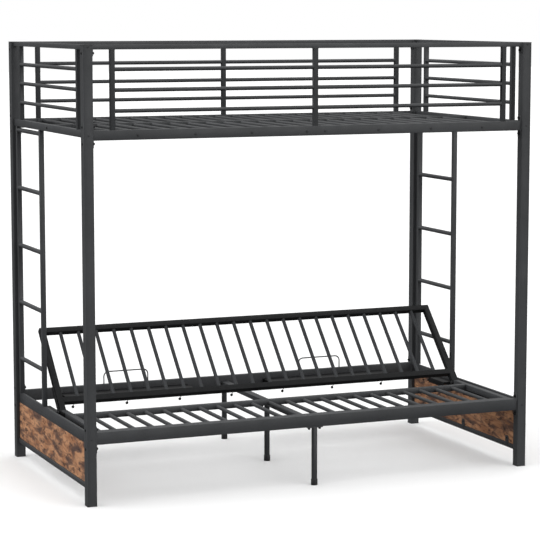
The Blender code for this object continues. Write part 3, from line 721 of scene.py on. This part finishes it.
def make_panel_clips():
    """Folded clips and screws that hold each wood panel from inside."""
    head, small_head = [turned_profile(HEAD_SHARES, size) for size in (BOLT_HEAD, SMALL_HEAD)]
    for name, side in LEFT_RIGHT:
        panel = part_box(f"wood_panel_{name}")
        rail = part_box(f"bottom_rail_{name}")
        panel_x = panel[0].x if side > 0 else panel[1].x
        rail_x = rail[0].x if side > 0 else rail[1].x
        foot = rail[1].z
        reach = CLIP_SHARE * panel[1].y
        clips, screws = bmesh.new(), bmesh.new()
        for share in (-1, 0, 1):
            y = share * reach + CLIP_SHIFT
            inward = -side * CLIP_SHEET
            add_prism(clips, clip_outline(panel_x, y, foot), (inward, 0, 0))
            fold = [(panel_x + inward, foot), (panel_x + inward, foot + CLIP_SHEET),
                    (rail_x + inward, foot + CLIP_SHEET), (rail_x + inward, foot - CLIP_DROP),
                    (rail_x, foot - CLIP_DROP), (rail_x, foot)]
            add_prism(clips, [(x, y - CLIP_WIDTH / 2, z) for x, z in fold], (0, CLIP_WIDTH, 0))
            screw = (panel_x + inward, y, foot + CLIP_SCREW_SHARE * CLIP_RISE)
            add_turned(screws, screw, (-side, 0, 0), small_head)
            upper_screw = (panel_x, y, panel[1].z - PANEL_SCREW_DROP)
            add_turned(screws, upper_screw, (-side, 0, 0), head)
        make_piece(f"panel_clips_{name}", clips, FINISHES["frame_coat"])
        make_piece(f"panel_screws_{name}", screws, FINISHES["fastener"])


def make_back_pins():
    """Capped pins behind the backrest's bottom rail, at every third rod."""
    shape = bmesh.new()
    along = BACK_START + BACK_RAIL_WIDTH / 2
    for place in places_from(BACK_PIN_START):
        add_turned(shape, (place + PIN_SHIFT, along, -BACK_DEPTH / 2), (0, 0, -1), pin_profile())
    make_piece("backrest_pins", shape, FINISHES["fastener"], "backrest", BACK_PLACE)


def make_guard_welds():
    """Weld beads where the guards' uprights meet the top tubes and the rods."""
    tube = (GUARD_TUBE / 2, GUARD_TUBE / 2)
    for name, _ in (*FRONT_BACK, *LEFT_RIGHT):
        low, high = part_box(f"guard_{name}")
        long_way = name in ("front", "back")
        middle = (low + high) / 2
        reach = (high.x if long_way else high.y) - UPRIGHT_INSET
        axis = (1, 0, 0) if long_way else (0, 1, 0)
        uprights = (-reach, 0, reach) if long_way else (-reach, reach)
        shape = bmesh.new()
        for place in uprights:
            spot = Vector(axis) * place + Vector((middle.x, middle.y, 0))
            spot.z = high.z - GUARD_TUBE
            add_bead(shape, spot, (0, 0, 1), tube)
            for share in GUARD_ROD_SHARES:
                for face in (-1, 1):
                    along = place + face * GUARD_TUBE / 2
                    if abs(along) > reach:
                        continue
                    rod_spot = Vector(axis) * along + Vector((middle.x, middle.y, 0))
                    rod_spot.z = low.z + share * (high.z - low.z)
                    add_bead(shape, rod_spot, axis, ROD_SIZE, square=False)
        make_piece(f"guard_welds_{name}", shape, FINISHES["weld"])


def make_ladder_welds():
    """Weld beads where the rungs meet the ladders' legs."""
    for name, _ in LEFT_RIGHT:
        low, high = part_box(f"ladder_{name}")
        middle = (low + high) / 2
        height = high.z - low.z
        first = FIRST_RUNG_SHARE * height
        step = (height - TOP_RUNG_GAP - RUNG_RADIUS - first) / (RUNG_COUNT - 1)
        shape = bmesh.new()
        for index in range(RUNG_COUNT):
            z = low.z + first + index * step
            for y in (low.y + GUARD_TUBE, high.y - GUARD_TUBE):
                add_bead(shape, (middle.x, y, z), (0, 1, 0), (RUNG_RADIUS, RUNG_RADIUS), square=False)
        make_piece(f"ladder_welds_{name}", shape, FINISHES["weld"])


def slat_beads(y_places, z):
    """Small weld beads on both ends of a row of slats or rods that run along Y."""
    shape = bmesh.new()
    for x in SLAT_PLACES:
        for y in y_places:
            add_bead(shape, (x, y, z), (0, 1, 0), ROD_SIZE, SMALL_BEAD_RADIUS, square=False)
    return shape


def make_slat_welds():
    """Weld beads on the upper slats, the seat's slats and the backrest's rods."""
    for name, _ in FRONT_BACK:
        low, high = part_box(f"upper_slats_{name}")
        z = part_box("upper_centre_beam")[1].z - UPPER_SLAT_DROP
        shape = slat_beads((low.y + STRIP, high.y - STRIP), z)
        make_piece(f"upper_slat_welds_{name}", shape, FINISHES["weld"])
    low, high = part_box("seat_frame")
    shape = slat_beads((low.y + SEAT_FRONT_DEPTH, high.y - SEAT_REAR_DEPTH), (low.z + high.z) / 2)
    make_piece("seat_welds", shape, FINISHES["weld"])
    shape = slat_beads((BACK_START + BACK_RAIL_WIDTH, BACK_END - BACK_RAIL_WIDTH), 0)
    make_piece("backrest_welds", shape, FINISHES["back_weld"], "backrest", BACK_PLACE)


# Each coat's second colour is its pale tint, for its specks and for the painted highlight on its edges.
FINISHES = {
    "frame_coat": make_coat("charcoal_coat", (0.040, 0.042, 0.045), (0.16, 0.165, 0.17)),
    # Backrest: near black on its rails and side bars, partly its own coat and partly painted shade from the upper
    # bunk; charcoal on its rods.
    "backrest_coat": make_coat("black_and_painted_shade_coat", (0.0085, 0.009, 0.0095), (0.06, 0.06, 0.063), specular=0.15,
                               rod_colour=(0.042, 0.044, 0.047)),
    # Near black, partly painted shade on the pieces that sit under the seat and the upper bunk.
    "bracket_coat": make_coat("bracket_black_painted_shade", (0.006, 0.006, 0.0065), (0.04, 0.04, 0.042), specular=0.15),
    "panel_wood": make_wood("rustic_board"),
    "cap_plastic": make_plastic("black_plastic", (0.012, 0.012, 0.013)),
    "pin_steel": make_steel("dark_steel", (0.045, 0.045, 0.047), roughness=0.42),
    "fastener": make_coat("black_oxide", (0.005, 0.005, 0.0055), (0.03, 0.03, 0.032), specular=0.2),
    "coated_head": make_coat("coated_head", (0.026, 0.027, 0.029), (0.12, 0.12, 0.13)),
    "weld": make_coat("coated_weld", (0.036, 0.038, 0.041), (0.14, 0.145, 0.15), peel=0.3),
    # The backrest's welds are darker to go with it, partly painted shade.
    "back_weld": make_coat("coated_back_weld_painted_shade", (0.014, 0.015, 0.016), (0.10, 0.10, 0.105), peel=0.3),
}

bpy.context.scene.view_settings.view_transform = "Standard"
make_camera()
make_lights()
make_world()
make_floor()
dress_nodes()
make_post_fasteners()
make_rail_fasteners()
make_panel_clips()
make_back_pins()
make_guard_welds()
make_ladder_welds()
make_slat_welds()
